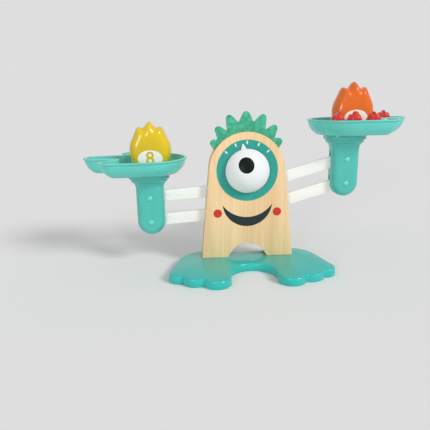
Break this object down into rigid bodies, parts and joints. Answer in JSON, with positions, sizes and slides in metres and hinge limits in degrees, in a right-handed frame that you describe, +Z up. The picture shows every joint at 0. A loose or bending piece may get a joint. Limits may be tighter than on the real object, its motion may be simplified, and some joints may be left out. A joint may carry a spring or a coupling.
{
  "type": "balance scale toy",
  "caption": "Wooden balance scale toy: footed base, upright body with a felt crest and an eye dome, paired beams and hand-shaped trays that stay level, with number pieces to weigh.",
  "frame": {"origin": "on the underside of the base, below the middle of the beams", "axes": "+Z up, +X along the beams to the viewer's right, +Y away from the viewer"},
  "size_m": [0.3919, 0.1514, 0.2159],
  "materials": {
    "pale_wood": "clear matt lacquer",
    "base_lacquer": "glossy opaque paint",
    "felt": "matt needle felt",
    "beam_white": "satin",
    "eye_white": "gloss",
    "teal_plastic": "satin",
    "nylon": "matt",
    "steel": "plain",
    "yellow_plastic": "gloss",
    "orange_plastic": "gloss",
    "red_plastic": "gloss"
  },
  "bodies": {
    "root": {"base_board": "base_lacquer", "front_panel": "pale_wood", "back_panel": "pale_wood", "head_spacer": "pale_wood", "left_leg_block": "pale_wood", "right_leg_block": "pale_wood", "stop_pegs": "pale_wood", "crest": "felt", "base_screws": "steel", "panel_screws": "steel", "lower_axle": "steel", "lower_axle_cap": "nylon", "axle_washers": "nylon"},
    "upper_beam": {"upper_beam": "beam_white", "upper_axle": "steel", "upper_axle_cap": "nylon", "eye_dome": "eye_white", "eye_pointer": "eye_white"},
    "lower_beam": {"lower_beam": "beam_white"},
    "left_post": {"left_post_front": "teal_plastic", "left_post_back": "teal_plastic", "left_post_pins": "teal_plastic", "left_post_screws": "steel", "left_tray": "teal_plastic"},
    "right_post": {"right_post_front": "teal_plastic", "right_post_back": "teal_plastic", "right_post_pins": "teal_plastic", "right_post_screws": "steel", "right_tray": "teal_plastic"},
    "eight": {"eight": "yellow_plastic", "eight_ballast_slug": "steel"},
    "three": {"three": "orange_plastic", "three_ballast_slug": "steel"},
    "one_a": {"one_a": "red_plastic"},
    "one_b": {"one_b": "red_plastic"},
    "one_c": {"one_c": "red_plastic"},
    "one_d": {"one_d": "red_plastic"}
  },
  "joints": [
    {"name": "beam_tilt", "type": "hinge", "parent": "root", "child": "upper_beam", "pos_m": [0, 0, 0.117], "axis": [0, 1, 0], "range_deg": [0, 19]},
    {"name": "lower_beam_tilt", "type": "hinge", "parent": "root", "child": "lower_beam", "pos_m": [0, 0, 0.088], "axis": [0, 1, 0], "range_deg": [0, 19]},
    {"name": "left_post_swing", "type": "hinge", "parent": "upper_beam", "child": "left_post", "pos_m": [-0.11572, 0, 0.0875], "axis": [0, 1, 0], "range_deg": [-19, 0]},
    {"name": "right_post_swing", "type": "hinge", "parent": "upper_beam", "child": "right_post", "pos_m": [0.11902, 0, 0.12678], "axis": [0, 1, 0], "range_deg": [-19, 0]},
    {"name": "eight_lift", "type": "slide", "parent": "left_post", "child": "eight", "axis": [0, 0, 1], "range_m": [0, 0.08]},
    {"name": "three_lift", "type": "slide", "parent": "right_post", "child": "three", "axis": [0, 0, 1], "range_m": [0, 0.08]},
    {"name": "one_a_lift", "type": "slide", "parent": "right_post", "child": "one_a", "axis": [0, 0, 1], "range_m": [0, 0.08]},
    {"name": "one_b_lift", "type": "slide", "parent": "right_post", "child": "one_b", "axis": [0, 0, 1], "range_m": [0, 0.08]},
    {"name": "one_c_lift", "type": "slide", "parent": "right_post", "child": "one_c", "axis": [0, 0, 1], "range_m": [0, 0.08]},
    {"name": "one_d_lift", "type": "slide", "parent": "right_post", "child": "one_d", "axis": [0, 0, 1], "range_m": [0, 0.08]}
  ],
  "couplings": [
    {"joint": "lower_beam_tilt", "follows": "beam_tilt", "ratio": 1},
    {"joint": "left_post_swing", "follows": "beam_tilt", "ratio": -1},
    {"joint": "right_post_swing", "follows": "beam_tilt", "ratio": -1}
  ]
}
